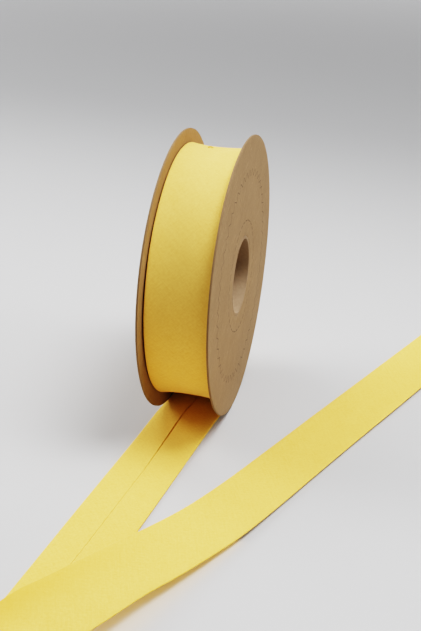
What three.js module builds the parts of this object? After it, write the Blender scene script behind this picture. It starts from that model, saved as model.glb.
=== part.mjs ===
// Reel of bias binding tape: two card discs on a paper core, the wound tape between them, and the tape's
// loose end drawn out from under the reel, turned over once and laid across the front.
// Millimetres, +Z up. The origin is on the table, midway between the two places where the discs stand.
// +X runs along the reel's axis, +Y towards the back.
import * as THREE from "three";

// Driving dimensions of the reel
const DISC_DIAMETER = 135;
const DISC_THICK = 0.9;
const DISC_FLAT = 8; // chord of the flat spot on which each disc stands
const CORE_INSIDE = 36;
const CORE_OUTSIDE = 39;
const TAPE_WOUND_WIDE = 30;
const SIDE_ROOM = 0.4; // between the wound tape and each disc
const ROLL_DIAMETER = 121.4;
const ROLL_HOLLOW = 1; // how far the roll's surface dips across its width
const ROLL_HOLLOW_AT = -2.5; // where the dip is deepest, from the middle of the width
const ROLL_EDGE = 0.8; // radius of the folded edges at the roll's two rims
const GAP = 0.3; // between neighbouring pieces

// Driving dimensions of the loose end: a face layer and two wings folded back over it
const LAYER = 0.4;
const LAYER_GAP = 0.3;
const SEAM_GAP = 0.8; // between the raw edges of the two wings
const SEAM_OFF = -2.1; // the seam lies this far off the middle of the tape
const FOLD_RADIUS = 5.7; // of the soft turn-over at the front

// How finely the curves are divided
const DISC_SIDES = 120;
const ROLL_SIDES = 112;
const CORE_SIDES = 72;
const ROLL_EDGE_STEPS = 2;
const ROLL_CROWN_STEPS = 8;
const TURN_OVER_STEPS = 4;
const SECTIONS_PER_ROW = 3; // sections of the loose end for each row of its route

// Worked out from the above
const DISC_RADIUS = DISC_DIAMETER / 2;
const ROLL_RADIUS = ROLL_DIAMETER / 2;
const AXIS_HIGH = Math.sqrt(DISC_RADIUS ** 2 - (DISC_FLAT / 2) ** 2);
const INNER_WIDE = TAPE_WOUND_WIDE + 2 * SIDE_ROOM;
const OUTER_WIDE = INNER_WIDE + 2 * DISC_THICK;
const TAPE_THICK = 2 * LAYER + LAYER_GAP;
const LYING = TAPE_THICK / 2; // height of the tape's middle where it lies on the table

// Route of the loose end. x, y and z are the middle of its section, turn is the angle of its width from
// +X seen from above, lean is how far the near edge is raised, and wide is the tape's width there.
const LEAVES_ROLL = [52, 44, 36]; // degrees behind the roll's lowest point, where the tape still lies on it
const FIRST_STRETCH = [
  { x: 0, y: 26.5, z: 11.4, turn: 0, lean: 0, wide: 29.8 },
  { x: 0, y: 15.5, z: 4.4, turn: 0, lean: 0, wide: 29.8 },
  { x: 0, y: 9, z: 1.5, turn: 0, lean: 0, wide: 29.8 },
  { x: 0, y: 4, z: LYING, turn: 0, lean: 0, wide: 29.6 },
  { x: 0, y: -4, z: LYING, turn: -1, lean: 0, wide: 29.4 },
  { x: -0.4, y: -12.5, z: LYING, turn: -3.5, lean: 0, wide: 29.2 },
  { x: -1.5, y: -19, z: LYING, turn: -5.5, lean: 0, wide: 29.2 },
  { x: -2.4, y: -26, z: LYING, turn: -5.9, lean: 0, wide: 29.2 },
  { x: -5.5, y: -55, z: LYING, turn: -5.9, lean: 0, wide: 29.3 },
  { x: -10.1, y: -100, z: LYING, turn: -5.9, lean: 0, wide: 29.6 },
  { x: -14.7, y: -145, z: LYING, turn: -5.9, lean: 0, wide: 29.8 },
  { x: -18.3, y: -180, z: LYING, turn: -5.9, lean: 0, wide: 29.8 },
];
const TURN_OVER = { x: -21.6, y: -212, comesIn: -5.9, goesOut: -25, wide: 29.8 };
const SECOND_STRETCH = [
  { x: -10.7, y: -198.3, z: 12.15, turn: -26, lean: -12, wide: 29.8 },
  { x: -3.6, y: -183.1, z: 10.35, turn: -25.2, lean: -10, wide: 29.8 },
  { x: 5.4, y: -163, z: 7.95, turn: -26.4, lean: -6.5, wide: 29.8 },
  { x: 15.6, y: -143.2, z: 5.75, turn: -28.6, lean: -5.4, wide: 29.8 },
  { x: 21, y: -132.1, z: 4.45, turn: -27.3, lean: -3.9, wide: 29.8 },
  { x: 31.1, y: -110.5, z: 2.55, turn: -25, lean: -1.5, wide: 29.8 },
  { x: 41.9, y: -83.1, z: 1.1, turn: -22.3, lean: 1, wide: 29.7 },
  { x: 54.6, y: -51.2, z: 1, turn: -21.8, lean: 1.4, wide: 29.4 },
  { x: 68.6, y: -16.1, z: 1, turn: -21.8, lean: 1.4, wide: 29.3 },
  { x: 83.9, y: 21.9, z: 1, turn: -21.8, lean: 1.4, wide: 29.3 },
  { x: 100.7, y: 64, z: 1, turn: -21.8, lean: 1.4, wide: 29.3 },
  { x: 120.3, y: 113, z: LYING, turn: -21.8, lean: 0, wide: 29.3 },
];

const radians = THREE.MathUtils.degToRad;

const kraftCard = { color: 0xb08a58, roughness: 0.9, metalness: 0 };
const tubePaper = { color: 0x8a6640, roughness: 0.95, metalness: 0 };
const yellowCotton = { color: 0xebd77a, roughness: 0.85, metalness: 0 };

function piece(name, geometry, finish) {
  const mesh = new THREE.Mesh(geometry, new THREE.MeshStandardMaterial(finish));
  mesh.name = name;
  return mesh;
}

// A round card disc with a flat spot at the bottom and a hole for the core, drawn in the plane across X.
function disc(name, x) {
  const flatHalf = Math.asin(DISC_FLAT / 2 / DISC_RADIUS);
  const down = -Math.PI / 2;
  const outline = new THREE.Shape();
  outline.absarc(0, 0, DISC_RADIUS, down + flatHalf, down + 2 * Math.PI - flatHalf, false);
  outline.closePath();
  const hole = new THREE.Path();
  hole.absarc(0, 0, CORE_OUTSIDE / 2 + GAP, 0, 2 * Math.PI, true);
  outline.holes.push(hole);
  const geometry = new THREE.ExtrudeGeometry(outline, {
    depth: DISC_THICK,
    bevelEnabled: false,
    curveSegments: DISC_SIDES / 2, // an arc is divided twice as finely as this
  });
  const mesh = piece(name, geometry, kraftCard);
  mesh.rotation.set(0, Math.PI / 2, Math.PI / 2);
  mesh.position.set(x, 0, AXIS_HIGH);
  return mesh;
}

// A ring turned about the reel's axis from a closed profile of radius and place along the axis.
function turned(name, profile, sides, finish) {
  const closed = [...profile, profile[0]];
  const points = closed.map(({ radius, along }) => new THREE.Vector2(radius, along));
  const mesh = piece(name, new THREE.LatheGeometry(points, sides), finish);
  mesh.rotation.z = -Math.PI / 2;
  mesh.position.z = AXIS_HIGH;
  return mesh;
}

function coreTube() {
  const half = OUTER_WIDE / 2;
  const profile = [
    { radius: CORE_INSIDE / 2, along: -half },
    { radius: CORE_OUTSIDE / 2, along: -half },
    { radius: CORE_OUTSIDE / 2, along: half },
    { radius: CORE_INSIDE / 2, along: half },
  ];
  return turned("core_tube", profile, CORE_SIDES, tubePaper);
}

// The wound tape: flat ends, rounded rims, and a surface that dips a little across its width.
function tapeRoll() {
  const half = TAPE_WOUND_WIDE / 2;
  const inside = CORE_OUTSIDE / 2 + GAP;
  const crownHalf = half - ROLL_EDGE;
  const dip = (along) => {
    const reach = along < ROLL_HOLLOW_AT ? crownHalf + ROLL_HOLLOW_AT : crownHalf - ROLL_HOLLOW_AT;
    const share = (along - ROLL_HOLLOW_AT) / reach;
    return ROLL_HOLLOW * (1 - share ** 2);
  };
  const rim = Array.from({ length: ROLL_EDGE_STEPS + 1 }, (_, i) => {
    const angle = ((Math.PI / 2) * i) / ROLL_EDGE_STEPS;
    return {
      radius: ROLL_RADIUS - ROLL_EDGE * (1 - Math.sin(angle)),
      along: crownHalf + ROLL_EDGE * Math.cos(angle),
    };
  });
  const crown = Array.from({ length: ROLL_CROWN_STEPS - 1 }, (_, i) => {
    const along = crownHalf * ((2 * (i + 1)) / ROLL_CROWN_STEPS - 1);
    return { radius: ROLL_RADIUS - dip(along), along };
  });
  const profile = [
    { radius: inside, along: -half },
    ...rim.map(({ radius, along }) => ({ radius, along: -along })),
    ...crown,
    ...rim.toReversed(),
    { radius: inside, along: half },
  ];
  return turned("tape_roll", profile, ROLL_SIDES, yellowCotton);
}

// Section of the folded tape across its width u and through its thickness v, seam side at +v.
function tapeSection(wide) {
  const half = wide / 2;
  const face = -TAPE_THICK / 2;
  const faceTop = face + LAYER;
  const wing = faceTop + LAYER_GAP;
  const top = wing + LAYER;
  const crease = half - LAYER;
  const seamLeft = SEAM_OFF - SEAM_GAP / 2;
  const seamRight = SEAM_OFF + SEAM_GAP / 2;
  return [
    [-half, face],
    [half, face],
    [half, top],
    [seamRight, top],
    [seamRight, wing],
    [crease, wing],
    [crease, faceTop],
    [-crease, faceTop],
    [-crease, wing],
    [seamLeft, wing],
    [seamLeft, top],
    [-half, top],
  ].map(([u, v]) => new THREE.Vector2(u, v));
}

// Rows where the tape still lies on the roll.
function rowsOnRoll() {
  const radius = ROLL_RADIUS + GAP + TAPE_THICK / 2;
  const { turn, lean, wide } = FIRST_STRETCH[0];
  return LEAVES_ROLL.map((degrees) => ({
    x: 0,
    y: radius * Math.sin(radians(degrees)),
    z: AXIS_HIGH - radius * Math.cos(radians(degrees)),
    turn,
    lean,
    wide,
  }));
}

// Rows round the turn-over: the tape wraps half a turn about a lying cylinder, slightly askew, so that it
// comes away over itself in a new direction.
function rowsOfTurnOver() {
  const { x, y, comesIn, goesOut, wide } = TURN_OVER;
  const middle = radians((comesIn + goesOut) / 2);
  const skew = Math.tan(radians((comesIn - goesOut) / 2));
  const along = new THREE.Vector2(Math.cos(middle), Math.sin(middle));
  const ahead = new THREE.Vector2(along.y, -along.x);
  return Array.from({ length: TURN_OVER_STEPS + 1 }, (_, i) => {
    const share = i / TURN_OVER_STEPS;
    const angle = Math.PI * share;
    const forward = FOLD_RADIUS * Math.sin(angle);
    const sideways = FOLD_RADIUS * angle * skew;
    return {
      x: x + ahead.x * forward + along.x * sideways,
      y: y + ahead.y * forward + along.y * sideways,
      z: LYING + FOLD_RADIUS * (1 - Math.cos(angle)),
      turn: THREE.MathUtils.lerp(comesIn, goesOut, share),
      lean: 0,
      wide,
    };
  });
}

// Sections along the route: a smooth curve through the rows, with the other columns eased between them.
function tailSections() {
  const rows = [...rowsOnRoll(), ...FIRST_STRETCH, ...rowsOfTurnOver(), ...SECOND_STRETCH];
  const curve = new THREE.CatmullRomCurve3(
    rows.map(({ x, y, z }) => new THREE.Vector3(x, y, z)),
    false,
    "centripetal",
  );
  const count = (rows.length - 1) * SECTIONS_PER_ROW;
  return Array.from({ length: count + 1 }, (_, i) => {
    const share = i / count;
    const row = Math.min(Math.floor(i / SECTIONS_PER_ROW), rows.length - 2);
    const within = i / SECTIONS_PER_ROW - row;
    const between = (column) => THREE.MathUtils.lerp(rows[row][column], rows[row + 1][column], within);
    const middle = curve.getPoint(share);
    middle.z = Math.max(middle.z, LYING);
    const heading = curve.getTangent(share);
    if (middle.z === LYING) heading.setZ(0).normalize();
    const turn = radians(between("turn"));
    const lean = radians(between("lean"));
    const across = new THREE.Vector3(
      Math.cos(turn) * Math.cos(lean),
      Math.sin(turn) * Math.cos(lean),
      Math.sin(lean),
    );
    const seamSide = new THREE.Vector3().crossVectors(heading, across).normalize();
    return { middle, across, seamSide, wide: between("wide") };
  });
}

// The loose end: the folded section swept along its route, with a cut end at each side.
function tapeTail() {
  const sections = tailSections();
  const corners = tapeSection(TAPE_WOUND_WIDE).length;
  const positions = sections.flatMap(({ middle, across, seamSide, wide }) =>
    tapeSection(wide).flatMap(({ x: u, y: v }) =>
      middle.clone().addScaledVector(across, u).addScaledVector(seamSide, v).toArray(),
    ),
  );
  const index = [];
  for (let i = 0; i < sections.length - 1; i++) {
    for (let k = 0; k < corners; k++) {
      const here = i * corners + k;
      const beside = i * corners + ((k + 1) % corners);
      const next = here + corners;
      const nextBeside = beside + corners;
      index.push(here, beside, nextBeside, here, nextBeside, next);
    }
  }
  const lastStart = (sections.length - 1) * corners;
  for (const [a, b, c] of THREE.ShapeUtils.triangulateShape(tapeSection(TAPE_WOUND_WIDE), [])) {
    index.push(a, c, b);
    index.push(lastStart + a, lastStart + b, lastStart + c);
  }
  const geometry = new THREE.BufferGeometry();
  geometry.setAttribute("position", new THREE.Float32BufferAttribute(positions, 3));
  geometry.setIndex(index);
  geometry.computeVertexNormals();
  return piece("tape_tail", geometry, yellowCotton);
}

const reel = new THREE.Group();
reel.add(disc("flange_left", -OUTER_WIDE / 2));
reel.add(disc("flange_right", INNER_WIDE / 2));
reel.add(coreTube());
reel.add(tapeRoll());
reel.add(tapeTail());

export default reel;
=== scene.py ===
# Reel of yellow bias binding tape: two kraft-card discs on a paper core, the wound tape between them,
# and the tape's loose end drawn out from under the reel, turned over once and laid across the front.
# Metres, +Z up, in the frame's own axes: +X along the reel's axis, +Y to the back, the table at height 0.
import math

import bmesh
import bpy
import numpy as np
from mathutils import Matrix, Vector, noise


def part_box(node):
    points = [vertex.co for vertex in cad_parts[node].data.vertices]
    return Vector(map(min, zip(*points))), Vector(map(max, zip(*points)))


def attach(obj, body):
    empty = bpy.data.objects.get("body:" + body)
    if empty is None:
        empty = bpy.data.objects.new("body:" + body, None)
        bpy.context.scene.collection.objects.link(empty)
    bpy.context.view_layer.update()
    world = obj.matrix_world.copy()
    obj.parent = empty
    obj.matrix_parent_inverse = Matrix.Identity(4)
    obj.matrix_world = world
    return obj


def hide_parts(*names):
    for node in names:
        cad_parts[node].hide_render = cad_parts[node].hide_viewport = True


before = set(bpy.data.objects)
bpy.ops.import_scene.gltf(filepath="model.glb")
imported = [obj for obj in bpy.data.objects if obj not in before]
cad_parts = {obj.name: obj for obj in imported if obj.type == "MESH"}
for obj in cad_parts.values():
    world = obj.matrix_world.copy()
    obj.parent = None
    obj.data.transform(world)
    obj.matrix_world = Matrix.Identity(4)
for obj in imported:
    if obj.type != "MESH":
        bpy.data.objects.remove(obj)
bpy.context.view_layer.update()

MM = 0.001
TURN = 2 * math.pi
QUARTER = math.pi / 2
DRIFT_SEEDS = (7.31, 1.77)  # keep the slow random values of one seed apart from another's
SHARP_ANGLE = math.radians(50)  # edges that turn further than this stay sharp
CURVE_POINTS = 40  # on a smooth curve, from one given row to the next

# Sizes that the frame gives
right_low, right_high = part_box("flange_right")
left_low, left_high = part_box("flange_left")
roll_low, roll_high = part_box("tape_roll")
core_low, core_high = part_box("core_tube")
DISC_RADIUS = (right_high.y - right_low.y) / 2
AXIS_HIGH = right_high.z - DISC_RADIUS
ROLL_RADIUS = (roll_high.y - roll_low.y) / 2
ROLL_HALF = (roll_high.x - roll_low.x) / 2
CORE_RADIUS = (core_high.y - core_low.y) / 2
CORE_HALF = (core_high.x - core_low.x) / 2

# Card discs
DISC_SIDES = 360
DISC_RINGS = 22
CARD_EASE = 0.16 * MM  # rounding of the die-cut edges
CARD_EASE_POINTS = 4
CARD_DISH = 0.22 * MM  # how far the card is drawn in at the core
CARD_DISH_REACH = 16 * MM
CARD_WAVE = 0.22 * MM  # slow warp of the rim
CARD_WAVES = 2  # in one turn
CARD_WAVE_POWER = 3  # how late it grows towards the rim
RIM_NICKS = 0.12 * MM  # unevenness of the cut rim
RIM_NICKS_ROUND = 60  # how closely they follow each other
RIM_NICKS_POWER = 8
LEFT_DISC_SEED = 1.3
RIGHT_DISC_SEED = 2.9

# Paper core
CORE_WALL = 1.5 * MM
CORE_SIDES = 160
CORE_STEPS = 40
CORE_RECESS = 0.25 * MM  # the tube's ends lie this far inside the discs' faces
CORE_END = CORE_HALF - CORE_RECESS
CORE_EASE = 0.2 * MM
PLY_PITCH = 27 * MM  # travel of the wound paper's seam in one turn
PLY_STEP = 0.12 * MM  # height of that seam

# Folded tape
LAYER = 0.3 * MM  # one thickness of the cotton
LAYER_ROOM = 0.14 * MM  # between the face layer and a folded wing
TAPE_THICK = 2 * LAYER + LAYER_ROOM
LAYER_RISE = (LAYER + LAYER_ROOM) / 2  # from the tape's middle to the middle of a layer
TAPE_CUT_WIDE = 60 * MM  # width of the strip before its edges were folded in
SEAM_OFF_AT = (85 * MM, 140 * MM, 200 * MM, 240 * MM)  # along the loose end
SEAM_OFF = (-2.1 * MM, -0.55 * MM, -0.7 * MM, -1.1 * MM)  # how far off the middle the raw edges meet there
SEAM_OPEN = 0.8 * MM  # room between the raw edges, by the reel
SEAM_SHUT = 0.15 * MM  # and along the rest of the tape
SEAM_SHUTS = (90 * MM, 150 * MM)  # along the loose end, where it goes from one to the other
SEAM_UNEVEN = 0.04 * MM
SEAM_WAVES = 30  # changes of that in a metre
WING_POINTS = 9
WING_CROWDING = 1.5  # how much closer they lie by the raw edge
WING_SPRING = 0.12 * MM  # how far the raw edges lift
WING_SPRING_POWER = 3  # how near to the raw edge they do
SPRING_CHANGE = 0.4  # share of the lift that comes and goes along the tape
SPRING_WAVES = 20  # changes of that in a metre
FOLD_POINTS = 7
FACE_POINTS = 15
SECTION_STEP = 1.8 * MM  # between sections along the tape
EDGE_WANDER = 0.16 * MM  # unevenness of the folded edges
EDGE_LIFT = 0.2 * MM  # how far they curl off the table
EDGE_LIFT_POWER = 3  # how near to the folded edge they do
EDGE_WAVES = 14  # changes of both in a metre

# Wound tape
ROLL_SIDES = 300
ROLL_DIP = 1.0 * MM  # how far the surface is hollow across its width
ROLL_DIP_AT = -2.5 * MM
ROLL_EDGE = 0.55 * MM  # radius of the folded edges at the rims
ROLL_EDGE_POINTS = 6
ROLL_EDGE_WANDER = 0.3 * MM
ROLL_EDGE_REACH = 3 * MM  # how far in from the rims that wander reaches
ROLL_WANDER_ROUND = 3  # how fast it changes round the roll
ROLL_WANDER_TURN = 1.7  # and from one turn to the next
CROWN_HALF = ROLL_HALF - ROLL_EDGE
CROWN_POINTS = 27
TURN_PITCH = 0.42 * MM
TURNS_SHOWN = 24  # outer turns modelled on the roll's two ends
TURN_GROOVE = 0.14 * MM
CORE_ROOM = 0.1 * MM
ROLL_BORE = CORE_RADIUS + CORE_ROOM
LEAVES_AT = math.radians(52)  # behind the roll's lowest point, where the loose end takes over
LEAVES_RAMP = math.radians(2.5)
STEP_SUNK = 0.4  # share of the outer turn's step that lies inside the roll's radius
ROLL_BASE = ROLL_RADIUS - STEP_SUNK * TAPE_THICK  # the turn beneath the outer one, at its end

# Route of the loose end, in millimetres and degrees: x and y of its middle, the height of its underside
# there, the angle of its width from +X seen from above, how far the near edge leans up, and its width
FIRST_STRETCH = [
    (0, 26.5, 10.85, 0, 0, 29.8),
    (0, 15.5, 3.85, 0, 0, 29.8),
    (0, 9, 0.95, 0, 0, 29.8),
    (0, 4, 0, 0, 0, 29.6),
    (0, -4, 0, -1, 0, 29.4),
    (-0.7, -12.5, 0, -3.5, 0, 29.7),
    (-1.8, -19, 0, -5.5, 0, 29.8),
    (-2.7, -26, 0, -5.9, 0, 29.8),
    (-5.5, -55, 0, -5.9, 0, 29.4),
    (-10.1, -100, 0, -5.9, 0, 29.6),
    (-14.7, -145, 0, -5.9, 0, 29.8),
    (-18.3, -180, 0, -5.9, 0, 29.8),
]
SECOND_STRETCH = [
    (-10.7, -198.3, 11.6, -26, -12, 29.8),
    (-3.6, -183.1, 9.8, -25.2, -10, 29.8),
    (5.4, -163, 7.4, -26.4, -6.5, 29.8),
    (15.6, -143.2, 5.2, -28.6, -5.4, 29.8),
    (21, -132.1, 3.9, -27.3, -3.9, 29.8),
    (31.1, -110.5, 2, -25, -1.5, 29.8),
    (41.9, -83.1, 0.55, -22.3, 1, 29.7),
    (54.6, -51.2, 0.45, -21.8, 1.4, 29.4),
    (68.6, -16.1, 0.45, -21.8, 1.4, 29.3),
    (83.9, 21.9, 0.45, -21.8, 1.4, 29.3),
    (100.7, 64, 0.45, -21.8, 1.4, 29.3),
    (120.3, 113, 0, -21.8, 0, 29.3),
]
# Where the tape still lies on the roll: degrees behind its lowest point, and millimetres tucked into it
ON_ROLL = [(56, 0.5), (52, 0.05), (44, 0), (36, 0)]
ON_ROLL_WIDE = 29.8
LEAVES_ROLL = (30 * MM, 60 * MM)  # along the loose end, where it loses the roll's hollow
# Half turn at the front, about a lying cylinder slightly askew, in millimetres and degrees
TURN_OVER_FROM = (-21.6, -212)
TURN_OVER_IN = -5.9
TURN_OVER_OUT = -25
TURN_OVER_WIDE = 29.8
TURN_OVER_RADIUS = 5.7
TURN_OVER_STEPS = 4

# Thread end on top of the roll: its place along the axis and round it, and its bends in millimetres,
# along the axis, round the roll and off it
THREAD_AT = (-3.2 * MM, math.radians(173))
THREAD_RADIUS = 0.2 * MM
THREAD_SIDES = 8
THREAD_BENDS = [
    (-1.5, 0.5, -0.2),
    (-0.9, 0.3, 0.3),
    (-0.2, 0.0, 0.6),
    (0.5, -0.4, 0.75),
    (0.75, -0.15, 0.5),
    (0.4, 0.4, 0.35),
    (0.6, 0.9, 0.35),
    (1.3, 1.0, -0.1),
]
THREAD_ASIDE = Vector((0.3, 0.2, 0.9))  # a way in which no part of the thread runs

# Cotton
# The wound and the loose tape are one cotton in two tones: the wound copy is made paler, painted light
# that brightens the roll.
WOUND_DEEP = (0.81, 0.487, 0.113, 1)
WOUND_PALE = (0.91, 0.603, 0.165, 1)
LOOSE_DEEP = (0.80, 0.465, 0.09, 1)  # the single strip lets light through and looks deeper; the wound copy above is the paler one, painted light
LOOSE_PALE = (0.895, 0.575, 0.132, 1)
PAINTED_SHADE_DEEP = (0.72, 0.37, 0.05, 1)  # painted shade on the strip where it was folded back, along the edge inside the bend
PAINTED_SHADE_FROM = (0.270, 0.300)  # along the loose end, where that tone comes in
PAINTED_SHADE_TO = (0.300, 0.400)  # and where it goes
PAINTED_SHADE_ACROSS = (14 * MM, 33 * MM)  # across the flat cloth
THREAD_PITCH = 0.36 * MM  # of the plain weave, which runs at 45 degrees to the tape
SLUB_LONG = 20  # threads
SLUB_CLOSE = 0.8  # changes from one thread to the next
WARP_SEED = 3.1
WEFT_SEED = 7.7
COTTON_MOTTLE = 130  # changes in a metre
COTTON_NAP = 900
SLUB_TONE = 0.9  # share that each takes in the cotton's tone
WEAVE_TONE = 0.12
MOTTLE_TONE = 0.35
NAP_TONE = 1.3
PAINTED_SHADE_TONE = 0.55
WEAVE_RELIEF = 0.5  # and in its relief
SLUB_RELIEF = 0.7
COTTON_RELIEF = 0.06 * MM  # height of that relief
COTTON_ROUGH = 0.86
MOTTLE_SMOOTHS = 0.08
CLOTH_MAP = "cloth"  # places on the flat cloth, in metres

# Card
# The two discs are one card in two tones: the right disc's is darker, painted shade, and the left disc's
# is paler and more orange, painted light for the yellow light the roll throws on its inner face.
RIGHT_CARD_SHADED_DEEP = (0.23, 0.149, 0.077, 1)
RIGHT_CARD_SHADED_PALE = (0.322, 0.215, 0.119, 1)
LEFT_CARD_LIT_DEEP = (0.257, 0.16, 0.068, 1)
LEFT_CARD_LIT_PALE = (0.36, 0.232, 0.106, 1)
KRAFT_FLECK = (0.42, 0.278, 0.158, 1)
KRAFT_SPECK = (0.125, 0.072, 0.035, 1)
# the rim's cut edge: the card's own darker cut fibres and painted shade
KRAFT_CUT_AND_SHADE = (0.21, 0.135, 0.075, 1)
CARD_CLOUDS = 70  # changes in a metre
CARD_GRAIN = 900
FIBRE_STRETCH = 0.09  # a fibre's width for its length
FLECK_FIBRES = (0.5, 1500, 2.3)  # pale ones: their lean, changes in a metre across them, and a seed
SPECK_FIBRES = (2.2, 1300, 5.9)  # dark ones
FLECK_SHOWS = (0.6, 0.72)  # noise over which a fibre comes out
SPECK_SHOWS = (0.62, 0.74)
CLOUD_TONE = 0.9  # share that each takes in the tone of card and paper
GRAIN_TONE = 0.7
FLECK_TONE = 0.55
SPECK_TONE = 0.4
CUT_TONE = 0.8
CUT_FROM = (DISC_RADIUS - 0.3 * MM, DISC_RADIUS - 0.12 * MM)  # where the cut edge's tone and its painted shade come in
GRAIN_RELIEF = 0.6  # and in the card's relief
FLECK_RELIEF = 0.8
SPECK_RELIEF = 0.5
PAPER_RELIEF = 0.05 * MM  # height of the relief of card and paper
CARD_ROUGH = 0.78
CLOUDS_ROUGHEN = 0.12

# Print on the card
PRINT_INK = (0.07, 0.045, 0.03, 1)
PRINT_FROM = (right_low.x, right_low.x + 0.2 * MM)  # the side of the card inside this has none
ZIGZAG_RING = 50 * MM
ZIGZAGS = 50
ZIGZAG_REACH = 1.6 * MM  # to either side of the ring
ZIGZAG_STROKE = (0.22 * MM, 0.36 * MM)  # half of the stroke, and where its soft edge ends
DASH_RING = 27 * MM
DASHES = 36
DASH_GAP = (0.16, 0.2)
DASH_STROKE = (0.2 * MM, 0.32 * MM)
INK_LEAST = 0.35  # how much ink is left where it is worn most
INK_MORE = 0.45  # and how much more at the most elsewhere
INK_WORN = (0.3, 0.55)  # grain over which it wears off

# Tube paper
TUBE_DEEP = (0.215, 0.148, 0.093, 1)
TUBE_PALE = (0.31, 0.22, 0.142, 1)
TUBE_CLOUDS = 120  # changes in a metre
TUBE_GRAIN = 800
PLY_SEAM = (0.47, 0.492)  # share of the pitch from the strip's middle, where its edge's shade comes in
PLY_SEAM_TONE = 0.6
PLY_THICK = 0.3 * MM
PLY_LINE = (0.3, 0.45)  # share of a ply from its middle, where the line between two plies comes in
PLY_LINE_TONE = 0.35
TUBE_CUT_FROM = (CORE_END - 0.15 * MM, CORE_END - 0.02 * MM)  # where the cut end's tone comes in
TUBE_CUT_TONE = 0.45
TUBE_ROUGH = 0.85
TUBE_CLOUDS_ROUGHEN = 0.1

# Table
TABLE_UNDER = 0.05 * MM  # the table lies this far under the object
TABLE_FLAT = 2.0  # radius of its flat part
TABLE_SWEEP = 0.8  # radius of the curve by which its paper goes up into a wall all round
TABLE_WALL = 1.0  # height of that wall over the curve
TABLE_SIDES = 96
TABLE_SWEEP_POINTS = 13
TABLE_PAPER = ((0.50, 0.50, 0.505, 1), (0.52, 0.52, 0.525, 1))
TABLE_CLOUDS = 6  # changes in a metre
TABLE_SHADE = (0.31, 0.31, 0.314, 1)
SHADE_BEHIND = (0.06, 0.56)  # distance behind the reel over which the shade comes in
SHADE_SKEW = 0.15  # how much nearer it is for each metre to the right
UNLIT = (0, 0, 0, 1)
TABLE_PAINTED_GLOW = (0.40, 0.40, 0.405, 1)  # painted light: how bright the paper glows far from the reel, in place of the room's light
TABLE_PAINTED_GLOW_FROM = (0.5, 1.9)  # distance over which it does
TABLE_PAINTED_GLOW_UP_TO = (0.3, 1.0)  # height over which that ends

# Lights
SKY = (1.0, 1.0, 1.0, 1)
SKY_STRENGTH = 0.01
LIGHT_SPREAD = 0.43  # a light's width for each metre of its distance
LIGHT_AIM = Vector((0, 0, 0.04))
SOFT_LIGHTS = [  # name, degrees round from +X to the back, degrees up, metres away, and power in watts
    ("light_right_high", 352, 72, 1.05, 7.6),
    ("light_right_middle", 10, 50, 1.3, 2.6),
    ("light_right_low", 0, 30, 1.6, 3.2),
    ("light_back_right", 50, 72, 1.05, 2.1),
    ("light_back_left", 120, 72, 1.05, 1.55),
    ("light_left_high", 144, 52, 1.05, 2.5),
    ("light_left_low", 180, 30, 1.6, 10.4),
    ("light_left_lowest", 172, 15, 1.6, 7.6),
    ("light_front", 270, 22, 1.6, 0.6),
]
# Light that shines through the raised part of the loose end: where it starts and ends under the tape,
# its width, its colour and its power in watts
GLOW_FROM = Vector((1, -201.8, 5)) * MM
GLOW_TO = Vector((37, -113.9, 1.2)) * MM
GLOW_WIDE = 20 * MM
GLOW = (1.0, 0.58, 0.05)
GLOW_POWER = 0.0025

# Camera, from the photo's own perspective
CAMERA_AZIMUTH = math.radians(12.551)
CAMERA_RISE = math.radians(24.584)
CAMERA_ROLL = math.radians(2.437)
CAMERA_AWAY = 0.56457
CAMERA_LOOK = Vector((0.001814, 0, 0.0445))
PHOTO_HIGH = 631  # pixels
FOCAL_PIXELS = 1150
SENSOR = 36  # millimetres along the picture's longer side


def on_reel(x, radius, angle):
    """A point by its distance from the reel's axis and its angle from straight down to the back."""
    return Vector((x, radius * math.sin(angle), AXIS_HIGH - radius * math.cos(angle)))


def smooth_step(low, high, value):
    share = min(max((value - low) / (high - low), 0), 1)
    return share * share * (3 - 2 * share)


def drift(place, seed):
    """A slow random value from about -1 to 1, the same on each run."""
    return noise.noise(Vector((place, *(seed * apart for apart in DRIFT_SEEDS))))


# Meshes
def skin(name, loops, cloth=None, turns=False):
    """A closed surface through loops of points. The loops join up all round if turns is set, and else
    the two end loops are closed across, each point to the one opposite it. cloth gives the place on the
    flat cloth of a loop's point."""
    loops = np.asarray(loops, dtype=float)
    rows, points = loops.shape[:2]
    faces = []
    spots = []
    for row in range(rows if turns else rows - 1):
        here = row * points
        after = (row + 1) % rows * points
        for point in range(points):
            beside = (point + 1) % points
            faces.append((here + point, here + beside, after + beside, after + point))
            spots.append(((row, point), (row, point + 1), (row + 1, point + 1), (row + 1, point)))
    if not turns:
        for row in (0, rows - 1):
            for point in range(points // 2 - 1):
                across = (point, point + 1, points - 2 - point, points - 1 - point)
                faces.append(tuple(row * points + place for place in across))
                spots.append(tuple((row, place) for place in across))
    mesh = bpy.data.meshes.new(name)
    mesh.from_pydata(loops.reshape(-1, 3).tolist(), [], faces)
    if cloth is not None:
        layer = mesh.uv_layers.new(name=CLOTH_MAP)
        places = [cloth(*spot) for face in spots for spot in face]
        layer.data.foreach_set("uv", np.array(places, dtype=np.float32).ravel())
    shaped = bmesh.new()
    shaped.from_mesh(mesh)
    bmesh.ops.recalc_face_normals(shaped, faces=shaped.faces)
    shaped.to_mesh(mesh)
    shaped.free()
    mesh.shade_smooth()
    mesh.set_sharp_from_angle(angle=SHARP_ANGLE)
    piece = bpy.data.objects.new(name, mesh)
    bpy.context.scene.collection.objects.link(piece)
    return piece


def quarter(centre, radius, start, points):
    """Points of a quarter circle from the angle start: distance from the axis, and place along it."""
    steps = [start + QUARTER * step / (points - 1) for step in range(points)]
    return [(centre[0] + radius * math.cos(step), centre[1] + radius * math.sin(step)) for step in steps]


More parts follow.
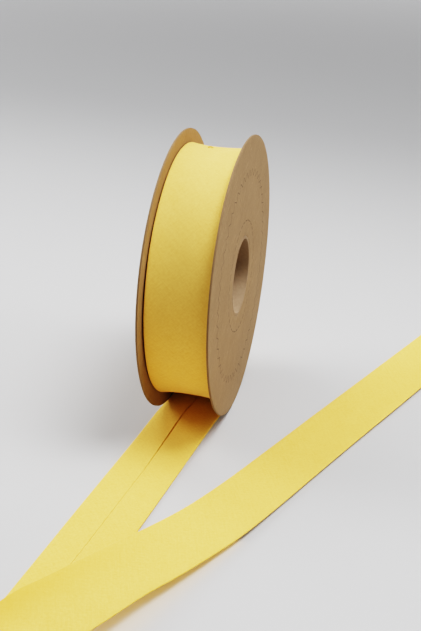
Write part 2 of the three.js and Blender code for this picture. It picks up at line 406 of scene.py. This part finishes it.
# Card discs
def card_disc(name, inner_face, outer_face, seed):
    """A die-cut disc: eased edges, drawn in a little at the core, with a slow warp and an uneven rim."""
    outward = 1 if outer_face > inner_face else -1
    thick = abs(outer_face - inner_face)
    bore = CORE_RADIUS + CARD_EASE
    rim = DISC_RADIUS - CARD_EASE
    rings = np.linspace(bore, rim, DISC_RINGS)
    far = thick - CARD_EASE
    section = [
        *quarter((rim, CARD_EASE), CARD_EASE, -QUARTER, CARD_EASE_POINTS),
        *quarter((rim, far), CARD_EASE, 0, CARD_EASE_POINTS),
        *[(ring, thick) for ring in rings[-2:0:-1]],
        *quarter((bore, far), CARD_EASE, QUARTER, CARD_EASE_POINTS),
        *quarter((bore, CARD_EASE), CARD_EASE, 2 * QUARTER, CARD_EASE_POINTS),
        *[(ring, 0) for ring in rings[1:-1]],
    ]
    loops = []
    for side in range(DISC_SIDES):
        angle = TURN * side / DISC_SIDES
        round_rim = Vector((math.cos(angle), math.sin(angle), seed))
        nick = RIM_NICKS * noise.noise(RIM_NICKS_ROUND * round_rim)
        loop = []
        for radius, depth in section:
            outer_share = radius / DISC_RADIUS
            dish = CARD_DISH * (1 - smooth_step(0, CARD_DISH_REACH, radius - CORE_RADIUS))
            wave = CARD_WAVE * math.sin(CARD_WAVES * angle + seed) * outer_share**CARD_WAVE_POWER
            x = inner_face + outward * (depth - dish) + wave
            point = on_reel(x, radius + nick * outer_share**RIM_NICKS_POWER, angle)
            point.z = max(point.z, 0)
            loop.append(point)
        loops.append(loop)
    return skin(name, loops, turns=True)


# Paper core
def core_tube(name):
    """A spiral-wound tube: the edge of the paper strip is a low helical step on its inside."""
    inside = CORE_RADIUS - CORE_WALL
    far = CORE_END - CORE_EASE
    lengths = np.linspace(-far, far, CORE_STEPS)
    outer = CORE_RADIUS - CORE_EASE
    inner = inside + CORE_EASE
    section = [
        *quarter((outer, far), CORE_EASE, 0, CARD_EASE_POINTS),
        *quarter((inner, far), CORE_EASE, QUARTER, CARD_EASE_POINTS),
        *[(inside, along) for along in lengths[-2:0:-1]],
        *quarter((inner, -far), CORE_EASE, 2 * QUARTER, CARD_EASE_POINTS),
        *quarter((outer, -far), CORE_EASE, 3 * QUARTER, CARD_EASE_POINTS),
    ]
    loops = []
    for side in range(CORE_SIDES):
        angle = TURN * side / CORE_SIDES
        loop = []
        for radius, along in section:
            within_ply = (along / PLY_PITCH - angle / TURN) % 1
            on_wall = 1 - smooth_step(0, CORE_EASE, radius - inside)
            loop.append(on_reel(along, radius - PLY_STEP * within_ply * on_wall, angle))
        loops.append(loop)
    return skin(name, loops, turns=True)


# Wound tape
def roll_dip(along):
    """How far the roll's surface lies under its rims at a place across the width."""
    reach = CROWN_HALF + ROLL_DIP_AT if along < ROLL_DIP_AT else CROWN_HALF - ROLL_DIP_AT
    share = min(abs(along - ROLL_DIP_AT) / reach, 1)
    return ROLL_DIP * (1 - share**2)


def roll_growth(angle):
    """The outer turn's rise over the one beneath it: a tape's thickness where the loose end takes over."""
    behind = (angle - LEAVES_AT) % TURN
    ramp_from = TURN - LEAVES_RAMP
    if behind > ramp_from:
        return TAPE_THICK * smooth_step(ramp_from, TURN, behind)
    return TAPE_THICK * (1 - behind / ramp_from)


def roll_section():
    """The roll cut through one side: distance from the axis, place along it, and the turn's number."""
    top = ROLL_RADIUS - ROLL_EDGE
    rounded = quarter((top, CROWN_HALF), ROLL_EDGE, 0, ROLL_EDGE_POINTS)
    rim = [(radius, along, 0) for radius, along in rounded]
    ends = []
    for turn in range(1, TURNS_SHOWN + 1):
        radius = top - TURN_PITCH * turn
        ends.append((radius + TURN_PITCH / 2, ROLL_HALF - TURN_GROOVE, turn))
        ends.append((radius, ROLL_HALF, turn))
    right = [*rim, *ends, (ROLL_BORE, ROLL_HALF, TURNS_SHOWN)]
    left = [(radius, -along, turn) for radius, along, turn in reversed(right)]
    crown = np.linspace(-CROWN_HALF, CROWN_HALF, CROWN_POINTS)[1:-1]
    return [*left, *[(ROLL_RADIUS - roll_dip(along), along, 0) for along in crown], *right]


def rim_wander(angle, turn):
    """How far a turn's folded edge lies in from the roll's end."""
    first = drift(ROLL_WANDER_ROUND * math.cos(angle) + ROLL_WANDER_TURN * turn, seed=1)
    second = drift(ROLL_WANDER_ROUND * math.sin(angle), seed=2 + turn)
    return ROLL_EDGE_WANDER * (1 + first + second) / 2


def tape_roll(name):
    """The wound tape: soft folded rims, a surface hollow across its width, and its turns at both ends."""
    section = roll_section()
    loops = []
    for side in range(ROLL_SIDES):
        angle = TURN * side / ROLL_SIDES
        growth = roll_growth(angle) - (ROLL_RADIUS - ROLL_BASE)
        loop = []
        for radius, along, turn in section:
            outer_share = smooth_step(ROLL_BORE, ROLL_RADIUS, radius)
            at_rim = smooth_step(CROWN_HALF - ROLL_EDGE_REACH, ROLL_HALF, abs(along))
            x = math.copysign(abs(along) - rim_wander(angle, turn) * at_rim, along)
            loop.append(on_reel(x, radius + growth * outer_share, angle))
        loops.append(loop)
    lengths = np.hypot(*np.diff(np.array(section)[:, :2], axis=0).T)
    run = np.concatenate([[0], np.cumsum(lengths)])
    run = np.append(run, run[-1]) - run[-1] / 2

    def cloth(row, point):
        behind = TURN * row / ROLL_SIDES - math.radians(ON_ROLL[0][0])
        return TAPE_CUT_WIDE / 2 + run[point], -ROLL_RADIUS * behind

    return skin(name, loops, cloth, turns=True)


# Loose end
def lying(row):
    """A row of the route in metres and radians, with the height of the tape's middle."""
    x, y, under, turn, lean, wide = row
    return (x * MM, y * MM, under * MM + TAPE_THICK / 2, math.radians(turn), math.radians(lean), wide * MM)


def rows_on_roll():
    rows = []
    for degrees, tucked in ON_ROLL:
        middle = on_reel(0, ROLL_BASE + TAPE_THICK / 2 - tucked * MM, math.radians(degrees))
        rows.append((*middle, 0, 0, ON_ROLL_WIDE * MM))
    return rows


def rows_of_turn_over():
    middle = math.radians((TURN_OVER_IN + TURN_OVER_OUT) / 2)
    skew = math.tan(math.radians((TURN_OVER_IN - TURN_OVER_OUT) / 2))
    along = Vector((math.cos(middle), math.sin(middle)))
    ahead = Vector((along.y, -along.x))
    rows = []
    for step in range(TURN_OVER_STEPS + 1):
        share = step / TURN_OVER_STEPS
        angle = math.pi * share
        place = Vector(TURN_OVER_FROM)
        place += ahead * TURN_OVER_RADIUS * math.sin(angle)
        place += along * TURN_OVER_RADIUS * angle * skew
        under = TURN_OVER_RADIUS * (1 - math.cos(angle))
        turn = TURN_OVER_IN + (TURN_OVER_OUT - TURN_OVER_IN) * share
        rows.append(lying((place.x, place.y, under, turn, 0, TURN_OVER_WIDE)))
    return rows


def straight(first, second, low, high, place):
    """first at low, second at high, and in proportion at any other place."""
    return (first * (high - place) + second * (place - low)) / (high - low)


def eased(rows, step, lowest=0.0):
    """Rows every step along a smooth centripetal curve through the given rows, none under the lowest
    height, and how far along each lies."""
    rows = np.array(rows)
    rows = np.vstack([2 * rows[0] - rows[1], rows, 2 * rows[-1] - rows[-2]])
    gaps = np.linalg.norm(np.diff(rows[:, :3], axis=0), axis=1) ** 0.5
    knots = np.concatenate([[0], np.cumsum(gaps)])
    fine = []
    for first in range(len(rows) - 3):
        row = rows[first : first + 4]
        knot = knots[first : first + 4]
        for place in np.linspace(knot[1], knot[2], CURVE_POINTS, endpoint=False):
            lines = [straight(row[i], row[i + 1], knot[i], knot[i + 1], place) for i in range(3)]
            bows = [straight(lines[i], lines[i + 1], knot[i], knot[i + 2], place) for i in range(2)]
            fine.append(straight(*bows, knot[1], knot[2], place))
    fine = np.array([*fine, rows[-2]])
    fine[:, 2] = np.maximum(fine[:, 2], lowest)
    run = np.concatenate([[0], np.cumsum(np.linalg.norm(np.diff(fine[:, :3], axis=0), axis=1))])
    stops = np.linspace(0, run[-1], round(run[-1] / step) + 1)
    return np.column_stack([np.interp(stops, run, column) for column in fine.T]), stops


def tape_section(wide, seam_at, seam_gap, spring):
    """The folded tape cut across: places u across and v towards the seam side, along the middle of the
    cloth from one raw edge to the other, with the direction in which the cloth's outside faces."""
    crease = wide / 2 - LAYER_RISE - LAYER / 2
    left_edge = seam_at - seam_gap / 2
    right_edge = seam_at + seam_gap / 2
    wing = np.linspace(0, 1, WING_POINTS)[:-1] ** WING_CROWDING
    sprung = LAYER_RISE + spring * (1 - wing) ** WING_SPRING_POWER
    level = np.zeros_like(wing)
    left_wing = (left_edge + (-crease - left_edge) * wing, sprung, level, level + 1)
    right_wing = ((right_edge + (crease - right_edge) * wing)[::-1], sprung[::-1], level, level + 1)
    bend = np.linspace(0, math.pi, FOLD_POINTS)
    sine = np.sin(bend)
    cosine = np.cos(bend)
    left_fold = (-crease - LAYER_RISE * sine, LAYER_RISE * cosine, -sine, cosine)
    right_fold = (crease + LAYER_RISE * sine, -LAYER_RISE * cosine, sine, -cosine)
    across = np.linspace(-crease, crease, FACE_POINTS)[1:-1]
    level = np.zeros_like(across)
    face = (across, level - LAYER_RISE, level, level - 1)
    return [np.concatenate(parts) for parts in zip(left_wing, left_fold, face, right_fold, right_wing)]


def loose_loop(row, heading, far):
    """The outline of the cloth cut across, at one row of the route and so far along it."""
    x, y, z, turn, lean, wide = row
    across = np.array([math.cos(turn) * math.cos(lean), math.sin(turn) * math.cos(lean), math.sin(lean)])
    seam_side = np.cross(heading, across)
    seam_side /= np.linalg.norm(seam_side)
    shut = smooth_step(*SEAM_SHUTS, far)
    seam_gap = SEAM_OPEN + (SEAM_SHUT - SEAM_OPEN) * shut + SEAM_UNEVEN * drift(far * SEAM_WAVES, seed=3)
    seam_at = np.interp(far, SEAM_OFF_AT, SEAM_OFF)
    spring = WING_SPRING * (1 - SPRING_CHANGE + SPRING_CHANGE * drift(far * SPRING_WAVES, seed=4))
    u, v, out_u, out_v = tape_section(wide, seam_at, seam_gap, spring)
    share = u / (wide / 2)
    waves = far * EDGE_WAVES
    wander = EDGE_WANDER * np.where(u < 0, drift(waves, seed=5), drift(waves, seed=6))
    curl = (1 + np.where(u < 0, drift(waves, seed=7), drift(waves, seed=8))) / 2
    off_roll = smooth_step(*LEAVES_ROLL, far)
    hollow = np.array([roll_dip(place) for place in u]) * (1 - off_roll)
    lift = off_roll * EDGE_LIFT * curl * np.abs(share) ** EDGE_LIFT_POWER
    sides = []
    for out in (LAYER / 2, -LAYER / 2):
        flat = u + wander * share + out_u * out
        deep = v + hollow + out_v * out
        points = np.array([x, y, z]) + np.outer(flat, across) + np.outer(deep, seam_side)
        points[:, 2] = np.maximum(points[:, 2] + lift, 0)
        sides.append(points)
    outside, inside = sides
    return np.vstack([outside, inside[::-1]])


def loose_end(name):
    """The folded strip of cotton along its route, and its length."""
    rows = [*rows_on_roll(), *map(lying, FIRST_STRETCH), *rows_of_turn_over(), *map(lying, SECOND_STRETCH)]
    path, run = eased(rows, SECTION_STEP, lowest=TAPE_THICK / 2)
    headings = np.gradient(path[:, :3], axis=0)
    loops = [loose_loop(*place) for place in zip(path, headings, run)]
    u, v = tape_section(TURN_OVER_WIDE * MM, SEAM_OFF[-1], SEAM_SHUT, spring=0)[:2]
    cloth_run = np.concatenate([[0], np.cumsum(np.hypot(np.diff(u), np.diff(v)))])
    cloth_run += (TAPE_CUT_WIDE - cloth_run[-1]) / 2
    cloth_run = np.concatenate([cloth_run, cloth_run[::-1], cloth_run[:1]])
    piece = skin(name, loops, lambda row, point: (cloth_run[point], run[row]))
    return piece, run[-1]


# Thread end
def thread_end(name):
    """A crooked end of cotton thread that stands off the roll."""
    x, angle = THREAD_AT
    foot = on_reel(x, ROLL_BASE + roll_growth(angle) - roll_dip(x), angle)
    off = (foot - on_reel(x, 0, angle)).normalized()
    axis = Vector((1, 0, 0))
    round_roll = off.cross(axis)
    bends = [foot + MM * (a * axis + b * round_roll + c * off) for a, b, c in THREAD_BENDS]
    path, run = eased(bends, THREAD_RADIUS)
    headings = np.gradient(path, axis=0)
    loops = []
    for place, heading in zip(path, headings):
        heading = Vector(heading).normalized()
        side = heading.cross(THREAD_ASIDE).normalized()
        up = side.cross(heading)
        loop = []
        for step in range(THREAD_SIDES):
            around = TURN * step / THREAD_SIDES
            loop.append(Vector(place) + THREAD_RADIUS * (math.cos(around) * side + math.sin(around) * up))
        loops.append(loop)
    return skin(name, loops, lambda row, point: (point * THREAD_RADIUS, run[row]))


# Finishes
class Field:
    """A value that changes over a surface. Arithmetic on it adds Math nodes to its finish."""

    def __init__(self, finish, socket):
        self.finish = finish
        self.socket = socket

    def math(self, operation, *values):
        return self.finish.add("ShaderNodeMath", {"operation": operation}, dict(enumerate(values)))

    def __add__(self, other):
        return self.math("ADD", self, other)

    def __radd__(self, other):
        return self.math("ADD", other, self)

    def __sub__(self, other):
        return self.math("SUBTRACT", self, other)

    def __rsub__(self, other):
        return self.math("SUBTRACT", other, self)

    def __mul__(self, other):
        return self.math("MULTIPLY", self, other)

    def __rmul__(self, other):
        return self.math("MULTIPLY", other, self)

    def sine(self):
        return self.math("SINE", self)

    def fraction(self):
        return self.math("FRACT", self)

    def size(self):
        return self.math("ABSOLUTE", self)

    def root(self):
        return self.math("SQRT", self)

    def angle_over(self, other):
        return self.math("ARCTAN2", self, other)

    def off_middle(self):
        """How far a value from 0 to 1 lies over or under a half."""
        return self - 0.5

    def between(self, low, high):
        """0 under low, 1 over high and a soft step from one to the other."""
        sockets = {"Value": self, "From Min": low, "From Max": high}
        return self.finish.add("ShaderNodeMapRange", {"interpolation_type": "SMOOTHSTEP"}, sockets)

    def parts(self):
        """The three parts of a place."""
        first = self.finish.add("ShaderNodeSeparateXYZ", None, {0: self})
        return [Field(self.finish, output) for output in first.socket.node.outputs]


class Finish:
    """A material with one shader, fed by nodes."""

    def __init__(self, name):
        self.material = bpy.data.materials.new(name)
        self.material.use_nodes = True
        self.tree = self.material.node_tree
        self.shader = self.tree.nodes["Principled BSDF"]

    def add(self, kind, settings=None, sockets=None, output=0):
        """One output of a new node with its settings, then the values and links of its sockets."""
        node = self.tree.nodes.new(kind)
        for name, value in (settings or {}).items():
            setattr(node, name, value)
        self.feed(node, sockets or {})
        return Field(self, node.outputs[output])

    def feed(self, node, sockets):
        for key, value in sockets.items():
            if isinstance(value, Field):
                self.tree.links.new(value.socket, node.inputs[key])
            else:
                node.inputs[key].default_value = value

    def place(self, x, y, z=0.0):
        return self.add("ShaderNodeCombineXYZ", None, {0: x, 1: y, 2: z})

    def on_object(self):
        """The three coordinates of a place on the object."""
        return self.add("ShaderNodeTexCoord", output="Object").parts()

    def cloud(self, place, scale=1.0, detail=2.0):
        """Soft noise from 0 to 1 with that many changes in a metre."""
        return self.add("ShaderNodeTexNoise", None, {"Vector": place, "Scale": scale, "Detail": detail})

    def blend(self, share, first, second):
        """A colour between two others."""
        return self.add("ShaderNodeMix", {"data_type": "RGBA"}, {0: share, 6: first, 7: second}, output=2)

    def fibres(self, first, second, lean, fine, seed):
        """Noise drawn out into short streaks that lean by an angle in the plane of two coordinates."""
        along = first * math.cos(lean) + second * math.sin(lean)
        beside = second * math.cos(lean) - first * math.sin(lean)
        return self.cloud(self.place(along * fine * FIBRE_STRETCH, beside * fine, seed), detail=3.0)

    def bump(self, height, strength, distance):
        sockets = {"Strength": strength, "Distance": distance, "Height": height}
        return self.add("ShaderNodeBump", None, sockets)


def yellow_cotton(name, deep, pale):
    """Plain-woven cotton cut on the bias: threads at 45 degrees to the tape, slubs, a soft mottle, and
    painted shade where the strip was folded back."""
    finish = Finish(name)
    across, along, _ = finish.add("ShaderNodeUVMap", {"uv_map": CLOTH_MAP}).parts()
    threads = math.sqrt(0.5) / THREAD_PITCH
    warp = (across + along) * threads
    weft = (across - along) * threads
    weave = (warp * math.pi).sine() * (weft * math.pi).sine()
    warp_slubs = finish.cloud(finish.place(warp * (1 / SLUB_LONG), weft * SLUB_CLOSE, WARP_SEED))
    weft_slubs = finish.cloud(finish.place(weft * (1 / SLUB_LONG), warp * SLUB_CLOSE, WEFT_SEED))
    mottle = finish.cloud(finish.place(across, along), COTTON_MOTTLE, detail=3.0)
    nap = finish.cloud(finish.place(across, along), COTTON_NAP)
    tone = 0.5 + warp_slubs.off_middle() * SLUB_TONE + weft_slubs.off_middle() * SLUB_TONE
    tone = tone + weave * WEAVE_TONE + mottle.off_middle() * MOTTLE_TONE + nap.off_middle() * NAP_TONE
    # painted shade: a deeper yellow just after the turn-over, along the edge inside it
    painted_shade = along.between(*PAINTED_SHADE_FROM) * (1 - along.between(*PAINTED_SHADE_TO)) * (1 - across.between(*PAINTED_SHADE_ACROSS))
    relief = weave * WEAVE_RELIEF + warp_slubs * SLUB_RELIEF + weft_slubs * SLUB_RELIEF
    finish.feed(
        finish.shader,
        {
            "Base Color": finish.blend(painted_shade * PAINTED_SHADE_TONE, finish.blend(tone, deep, pale), PAINTED_SHADE_DEEP),
            "Roughness": COTTON_ROUGH - mottle * MOTTLE_SMOOTHS,
            "Normal": finish.bump(relief, strength=0.25, distance=COTTON_RELIEF),
            "Specular IOR Level": 0.25,
            "Sheen Weight": 0.12,
            "Sheen Roughness": 0.5,
            "Sheen Tint": (1, 0.9, 0.6, 1),
        },
    )
    return finish.material


def paper_tone(cloudy, grain):
    """From 0 for the deep tone of card or paper to 1 for its pale one."""
    return 0.5 + cloudy.off_middle() * CLOUD_TONE + grain.off_middle() * GRAIN_TONE


def stitch_print(x, radius, turn, grain):
    """How much ink is on the card: worn zigzag stitches in a ring, round a ring of running stitches."""
    swing = (turn * ZIGZAGS).fraction().off_middle().size() * 4 - 1
    zigzag = 1 - (radius - ZIGZAG_RING - swing * ZIGZAG_REACH).size().between(*ZIGZAG_STROKE)
    dashes = (turn * DASHES).fraction().off_middle().size().between(*DASH_GAP)
    dash_ring = 1 - (radius - DASH_RING).size().between(*DASH_STROKE)
    worn = INK_LEAST + grain.between(*INK_WORN) * INK_MORE
    return (zigzag + dashes * dash_ring) * worn * x.between(*PRINT_FROM)


def kraft_card(name, deep, pale, printed=False):
    """Unbleached board: cloudy brown, pale and dark fibres, a darker cut edge that is partly painted
    shade, and print if asked for.
    """
    finish = Finish(name)
    x, y, z = finish.on_object()
    high = z - AXIS_HIGH
    radius = (y * y + high * high).root()
    cloudy = finish.cloud(finish.place(x, y, z), CARD_CLOUDS, detail=4.0)
    grain = finish.cloud(finish.place(x, y, z), CARD_GRAIN, detail=3.0)
    flecks = finish.fibres(y, high, *FLECK_FIBRES)
    specks = finish.fibres(y, high, *SPECK_FIBRES)
    colour = finish.blend(paper_tone(cloudy, grain), deep, pale)
    colour = finish.blend(flecks.between(*FLECK_SHOWS) * FLECK_TONE, colour, KRAFT_FLECK)
    colour = finish.blend(specks.between(*SPECK_SHOWS) * SPECK_TONE, colour, KRAFT_SPECK)
    if printed:
        turn = y.angle_over(high) * (1 / TURN)
        colour = finish.blend(stitch_print(x, radius, turn, grain), colour, PRINT_INK)
    # the cut edge's own darker tone and painted shade on the rim
    colour = finish.blend(radius.between(*CUT_FROM) * CUT_TONE, colour, KRAFT_CUT_AND_SHADE)
    relief = grain * GRAIN_RELIEF + flecks * FLECK_RELIEF + specks * SPECK_RELIEF
    finish.feed(
        finish.shader,
        {
            "Base Color": colour,
            "Roughness": CARD_ROUGH + cloudy * CLOUDS_ROUGHEN,
            "Normal": finish.bump(relief, strength=0.3, distance=PAPER_RELIEF),
            "Specular IOR Level": 0.3,
        },
    )
    return finish.material


def tube_paper():
    """Wound grey-brown paper: the seam of its strip, and its plies at the cut ends."""
    finish = Finish("tube_paper")
    x, y, z = finish.on_object()
    high = z - AXIS_HIGH
    radius = (y * y + high * high).root()
    turn = y.angle_over(0 - high) * (1 / TURN)
    within_ply = (x * (1 / PLY_PITCH) - turn).fraction()
    grain = finish.cloud(finish.place(x, y, z), TUBE_GRAIN, detail=3.0)
    cloudy = finish.cloud(finish.place(x, y, z), TUBE_CLOUDS, detail=3.0)
    colour = finish.blend(paper_tone(cloudy, grain), TUBE_DEEP, TUBE_PALE)
    seam = within_ply.off_middle().size().between(*PLY_SEAM)
    colour = finish.blend(seam * PLY_SEAM_TONE, colour, KRAFT_SPECK)
    ply_lines = (radius * (1 / PLY_THICK)).fraction().off_middle().size().between(*PLY_LINE)
    cut_end = x.size().between(*TUBE_CUT_FROM)
    colour = finish.blend(cut_end * (TUBE_CUT_TONE - ply_lines * PLY_LINE_TONE), colour, RIGHT_CARD_SHADED_PALE)
    finish.feed(
        finish.shader,
        {
            "Base Color": colour,
            "Roughness": TUBE_ROUGH + cloudy * TUBE_CLOUDS_ROUGHEN,
            "Normal": finish.bump(grain, strength=0.3, distance=PAPER_RELIEF),
            "Specular IOR Level": 0.3,
        },
    )
    return finish.material


def table_top():
    """Plain grey paper, which falls off into shade behind the reel and glows with painted light far from
    it.
    """
    finish = Finish("table_top")
    x, y, z = finish.on_object()
    near = finish.blend(finish.cloud(finish.place(x, y, z), TABLE_CLOUDS, detail=3.0), *TABLE_PAPER)
    behind = (y + x * SHADE_SKEW).between(*SHADE_BEHIND)
    far_off = (x * x + y * y).root().between(*TABLE_PAINTED_GLOW_FROM)
    low_down = 1 - z.between(*TABLE_PAINTED_GLOW_UP_TO)
    finish.feed(
        finish.shader,
        {
            "Base Color": finish.blend(behind, near, TABLE_SHADE),
            "Roughness": 0.6,
            "Specular IOR Level": 0.3,
            # painted light: the paper glows far from the reel
            "Emission Color": finish.blend(far_off * low_down, UNLIT, TABLE_PAINTED_GLOW),
            "Emission Strength": 1.0,
        },
    )
    finish.material.cycles.emission_sampling = "NONE"
    return finish.material


# Stage
def lay_table():
    """A round sheet of paper, flat in the middle and swept up into a wall all round."""
    curve = quarter((TABLE_FLAT, TABLE_SWEEP), TABLE_SWEEP, -QUARTER, TABLE_SWEEP_POINTS)
    wall_top = (TABLE_FLAT + TABLE_SWEEP, TABLE_SWEEP + TABLE_WALL)
    points = []
    for radius, height in [*curve, wall_top]:
        for side in range(TABLE_SIDES):
            angle = TURN * side / TABLE_SIDES
            points.append((radius * math.cos(angle), radius * math.sin(angle), height - TABLE_UNDER))
    faces = [tuple(range(TABLE_SIDES))]
    for ring in range(TABLE_SWEEP_POINTS):
        for side in range(TABLE_SIDES):
            here = ring * TABLE_SIDES + side
            beside = ring * TABLE_SIDES + (side + 1) % TABLE_SIDES
            faces.append((here, here + TABLE_SIDES, beside + TABLE_SIDES, beside))
    mesh = bpy.data.meshes.new("table")
    mesh.from_pydata(points, [], faces)
    mesh.shade_smooth()
    table = bpy.data.objects.new("table", mesh)
    bpy.context.scene.collection.objects.link(table)
    mesh.materials.append(table_top())


def set_sky():
    world = bpy.data.worlds.new("sky")
    world.use_nodes = True
    sky = world.node_tree.nodes["Background"]
    sky.inputs["Color"].default_value = SKY
    sky.inputs["Strength"].default_value = SKY_STRENGTH
    bpy.context.scene.world = world


def set_soft_lights():
    """Round lights about the reel, all turned to it."""
    for name, turn, rise, away, power in SOFT_LIGHTS:
        lamp = bpy.data.lights.new(name, "AREA")
        lamp.shape = "DISK"
        lamp.size = LIGHT_SPREAD * away
        lamp.energy = power
        light = bpy.data.objects.new(name, lamp)
        turn = math.radians(turn)
        rise = math.radians(rise)
        flat = away * math.cos(rise)
        light.location = (flat * math.cos(turn), flat * math.sin(turn), away * math.sin(rise))
        light.rotation_euler = (LIGHT_AIM - light.location).to_track_quat("-Z", "Y").to_euler()
        bpy.context.scene.collection.objects.link(light)


def set_light_through_tape():
    """A strip of yellow light under the raised part of the loose end, turned to the table."""
    along = GLOW_TO - GLOW_FROM
    side = along.cross(Vector((0, 0, 1))).normalized()
    lamp = bpy.data.lights.new("light_through_tape", "AREA")
    lamp.shape = "RECTANGLE"
    lamp.size = GLOW_WIDE
    lamp.size_y = along.length
    lamp.energy = GLOW_POWER
    lamp.color = GLOW
    light = bpy.data.objects.new(lamp.name, lamp)
    along.normalize()
    axes = Matrix((side, along, side.cross(along))).transposed()
    light.matrix_world = Matrix.LocRotScale((GLOW_FROM + GLOW_TO) / 2, axes, None)
    bpy.context.scene.collection.objects.link(light)


def set_camera():
    back = Vector((math.sin(CAMERA_AZIMUTH), -math.cos(CAMERA_AZIMUTH), 0)) * math.cos(CAMERA_RISE)
    back.z = math.sin(CAMERA_RISE)
    level = Vector((math.cos(CAMERA_AZIMUTH), math.sin(CAMERA_AZIMUTH), 0))
    above = back.cross(level)
    right = level * math.cos(CAMERA_ROLL) + above * math.sin(CAMERA_ROLL)
    up = above * math.cos(CAMERA_ROLL) - level * math.sin(CAMERA_ROLL)
    lens = bpy.data.cameras.new("camera")
    lens.sensor_width = SENSOR
    lens.sensor_fit = "AUTO"
    lens.lens = FOCAL_PIXELS / PHOTO_HIGH * SENSOR
    camera = bpy.data.objects.new("camera", lens)
    axes = Matrix((right, up, back)).transposed()
    camera.matrix_world = Matrix.LocRotScale(CAMERA_LOOK + back * CAMERA_AWAY, axes, None)
    bpy.context.scene.collection.objects.link(camera)
    bpy.context.scene.camera = camera


def fit(piece, finish, slot, *nodes):
    """Gives a piece its finish and its place on the reel."""
    piece.data.materials.append(finish)
    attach(piece, "root")
    if nodes:
        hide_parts(*nodes)


set_camera()
set_sky()
set_soft_lights()
set_light_through_tape()
lay_table()
bpy.context.scene.view_settings.view_transform = "Filmic"
bpy.context.scene.view_settings.look = "Very High Contrast"

wound_cotton = yellow_cotton("cotton_wound", WOUND_DEEP, WOUND_PALE)
loose_cotton = yellow_cotton("cotton_loose", LOOSE_DEEP, LOOSE_PALE)
# the left disc's card carries painted light, the right disc's painted shade
plain_card = kraft_card("kraft_plain", LEFT_CARD_LIT_DEEP, LEFT_CARD_LIT_PALE)
printed_card = kraft_card("kraft_printed", RIGHT_CARD_SHADED_DEEP, RIGHT_CARD_SHADED_PALE, printed=True)

left_disc = card_disc("card_disc_left", left_high.x, left_low.x, LEFT_DISC_SEED)
fit(left_disc, plain_card, "kraft_card", "flange_left")
right_disc = card_disc("card_disc_right", right_low.x, right_high.x, RIGHT_DISC_SEED)
fit(right_disc, printed_card, "kraft_card", "flange_right")
fit(core_tube("wound_core"), tube_paper(), "tube_paper", "core_tube")
wound_tape = tape_roll("wound_tape")
fit(wound_tape, wound_cotton, "yellow_cotton", "tape_roll")
loose_tape, loose_length = loose_end("loose_tape")
fit(loose_tape, loose_cotton, "yellow_cotton", "tape_tail")
fit(thread_end("thread_end"), wound_cotton, "yellow_cotton")
